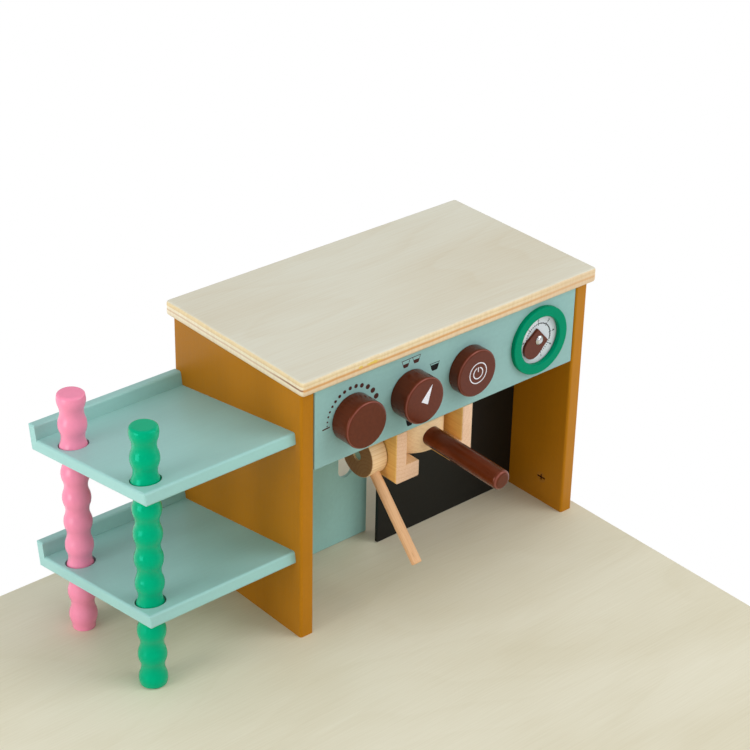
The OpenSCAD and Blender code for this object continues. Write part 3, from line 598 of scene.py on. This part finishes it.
def cup_loops(x, z, w, h, fill, line, rim=True):
    """A cup from the side, w wide and h high: its filled lower part, two side lines and a rim line.

    x and z are the middle of its foot. Hairline gaps keep the loops apart.
    """
    steps = 10
    gap = 0.04
    top = z + h

    def edge(height):
        """Half the width at a height that goes from the foot at 0 to the rim at 1."""
        return w / 2 * (0.42 + 0.58 * math.sqrt(height))

    right = [(x + edge(i / steps * fill), z + h * i / steps * fill) for i in range(steps + 1)]
    left = [(2 * x - px, pz) for px, pz in right[::-1]]
    loops = [right + left]
    if rim:
        loops.append(stroke(x - w / 2 - line, top, x + w / 2 + line, top, line))
    for side in (-1, 1):
        loops.append(stroke(x + side * (edge(fill) - line / 3), z + h * fill + line / 3 + gap,
                            x + side * w / 2, top - line - gap, line))
    return loops


def strength_loops():
    """A start line and dots that grow clockwise, on a row whose radius grows a little too."""
    loops = [spoke(184, 20.8, 27.6, 1.1)]
    for angle, size in STRENGTH_DOTS:
        r = 23.2 + 1.1 * (180 - angle) / 160
        a = math.radians(angle)
        loops.append(ring_loop(size / 2, r * math.cos(a), r * math.sin(a), 24))
    return loops


def power_loops():
    """The plain ring-and-bar power symbol."""
    gap = 17
    return [arc_band(4.6, 0.85, 0.85, 90 + gap, 450 - gap, 64), stroke(0, 1.0, 0, 4.9, 0.8)]


def tick_loops():
    """A long tick for each number, and short ticks up to the next number."""
    loops = []
    for i in range(DIAL_LAST + 1):
        loops.append(spoke(DIAL_FIRST - DIAL_STEP * i, *LONG_TICK))
        for j in range(1, DIAL_MINORS + 1):
            if i < DIAL_LAST:
                loops.append(spoke(DIAL_FIRST - DIAL_STEP * (i + j / (DIAL_MINORS + 1)), *SHORT_TICK))
    return loops


def dial_number(i, c, look):
    """A number on the dial, with its foot towards the middle."""
    digit = bpy.data.curves.new(f"dial_number_{i}", "FONT")
    digit.body = str(i)
    digit.size, digit.align_x, digit.align_y = NUMBER_H * MM, "CENTER", "CENTER"
    digit.extrude, digit.offset = PRINT / 2, NUMBER_BOLD * MM
    a = math.radians(DIAL_FIRST - DIAL_STEP * i)
    spot = c + Vector((NUMBER_R * math.cos(a) * MM, 0, NUMBER_R * math.sin(a) * MM))
    settle(f"dial_number_{i}", digit, spot, look, "housing", a - math.radians(90))


def make_prints():
    brown = ink("print_brown", PRINT_BROWN)
    black = ink("print_black", PRINT_BLACK)
    white = ink("print_white", PRINT_WHITE)
    grey = ink("print_grey", PRINT_GREY)

    c = before("strength_knob", "front_fascia")
    flat_piece("strength_scale", strength_loops(), c, brown, "housing")

    # Cup marks round the selector: a pair under one rim line, and two single ones
    c = before("selector_knob", "front_fascia")
    pair = cup_loops(-4.6, 22.2, 7.4, 6.1, 0.5, 0.45, rim=False)
    pair += cup_loops(5.6, 22.8, 7.4, 5.8, 0.53, 0.45, rim=False)
    pair.append(stroke(-8.8, 28.25, 9.8, 28.6, 0.5))
    flat_piece("cup_pair_mark", pair, c, brown, "housing")
    right = cup_loops(24.0, 10.2, 8.9, 6.3, 0.8, 0.5)
    flat_piece("cup_mark", right, c, black, "housing")
    lower = cup_loops(0.8, -28.7, 7.6, 5.9, 0.9, 0.35)
    flat_piece("lower_mark", lower, c, black, "housing")

    c = before("selector_knob", "selector_knob")
    arrow = [(-3.9, 0.5), (2.5, -3.4), (6.6, 12.2)]
    flat_piece("selector_arrow", [arrow], c, white, "selector_knob")
    c = before("power_knob", "power_knob", aside=0.5, up=0.3)
    flat_piece("power_ring", [ring_loop(8.8), ring_loop(8.0)], c, white, "power_knob")
    flat_piece("power_symbol", power_loops(), c, white, "power_knob")

    # Dial: ticks, a thin line that goes on as a growing band, and numbers
    c = before("gauge_ring", "gauge_dial", aside=1.0)
    flat_piece("dial_ticks", tick_loops(), c, grey, "housing")
    thin = arc_band(DIAL_LINE_R, 0.25, 0.25, DIAL_FIRST, 100, 24)
    flat_piece("dial_arc", [thin], c, grey, "housing")
    growing = arc_band(DIAL_LINE_R, 0.5, 0.85, 98, -20, 40)
    flat_piece("dial_band", [growing], c, black, "housing")
    for i in range(DIAL_LAST + 1):
        dial_number(i, c, grey)


# ---- floor and light ----

# Two corners of the floor board, in millimetres
FLOOR_LO, FLOOR_HI = (-1100, -1300, -20), (293, 187, 0)

# The world's strength is full below the horizon and fades to SKY between two heights of the view direction
SKY, HORIZON_LOW, HORIZON_HIGH = 0.54, -0.2, -0.02
# The lamps look at one point; each has a place in millimetres, a size in metres and a power in watts
LAMP_AIM = (100, 60, 100)
LAMPS = {
    "key": ((1100, -1300, 1500), (1.2, 1.2), 14.7),
    "left": ((-1600, 100, 450), (0.9, 1.2), 13.9),
    "top": ((100, 0, 2100), (1.5, 1.5), 3.7),
    "front_left": ((-1300, -1300, 1300), (0.8, 0.5), 1.4),
    "front": ((150, -2000, 700), (0.5, 0.7), 3.4),
    "right": ((2000, 100, 900), (1.2, 1.2), 2.9),
}


def make_stage():
    """A plain pale board that ends behind and to the right of the machine, as a table does."""
    bm = bmesh.new()
    lo, hi = at(*FLOOR_LO), at(*FLOOR_HI)
    bmesh.ops.create_cube(bm, size=1.0)
    for v in bm.verts:
        for i in range(3):
            v.co[i] = hi[i] if v.co[i] > 0 else lo[i]
    upright = [e for e in bm.edges if abs(e.verts[0].co.z - e.verts[1].co.z) > 1 * MM]
    bmesh.ops.bevel(bm, geom=upright, offset=6 * MM, segments=6, affect="EDGES", profile=0.5)
    mesh = bpy.data.meshes.new("floor")
    bm.to_mesh(mesh)
    bm.free()
    mesh.materials.append(veneer("floor_board", FLOOR_PALE, FLOOR_WARM, 0.5, 0.5, 0.6))
    floor = add_object("floor", mesh)


def area_light(name, place, size, power):
    data = bpy.data.lights.new(name, "AREA")
    data.shape, data.size, data.size_y = "RECTANGLE", *size
    data.energy = power
    point(add_object(name, data), place, at(*LAMP_AIM) - place)


def make_light():
    """A soft white tent: a world that is grey overhead and white below the horizon, and large soft lamps."""
    world = bpy.data.worlds.new("studio")
    bpy.context.scene.world = world
    world.use_nodes = True
    tree = world.node_tree
    background = tree.nodes["Background"]
    background.inputs["Color"].default_value = (1.0, 1.0, 1.0, 1.0)
    way = tree.nodes.new("ShaderNodeTexCoord")
    split = tree.nodes.new("ShaderNodeSeparateXYZ")
    band = tree.nodes.new("ShaderNodeMapRange")
    band.interpolation_type = "SMOOTHSTEP"
    band.inputs["From Min"].default_value, band.inputs["From Max"].default_value = HORIZON_LOW, HORIZON_HIGH
    band.inputs["To Min"].default_value, band.inputs["To Max"].default_value = 1.0, SKY
    tree.links.new(way.outputs["Generated"], split.inputs[0])
    tree.links.new(split.outputs[2], band.inputs["Value"])
    tree.links.new(band.outputs[0], background.inputs["Strength"])
    for name, (place, size, power) in LAMPS.items():
        area_light(name, at(*place), size, power)
    bpy.context.scene.view_settings.view_transform = "Standard"
    bpy.context.scene.view_settings.look = "None"


make_camera()
dress_painted()
dress_bare()
make_prints()
make_stage()
make_light()
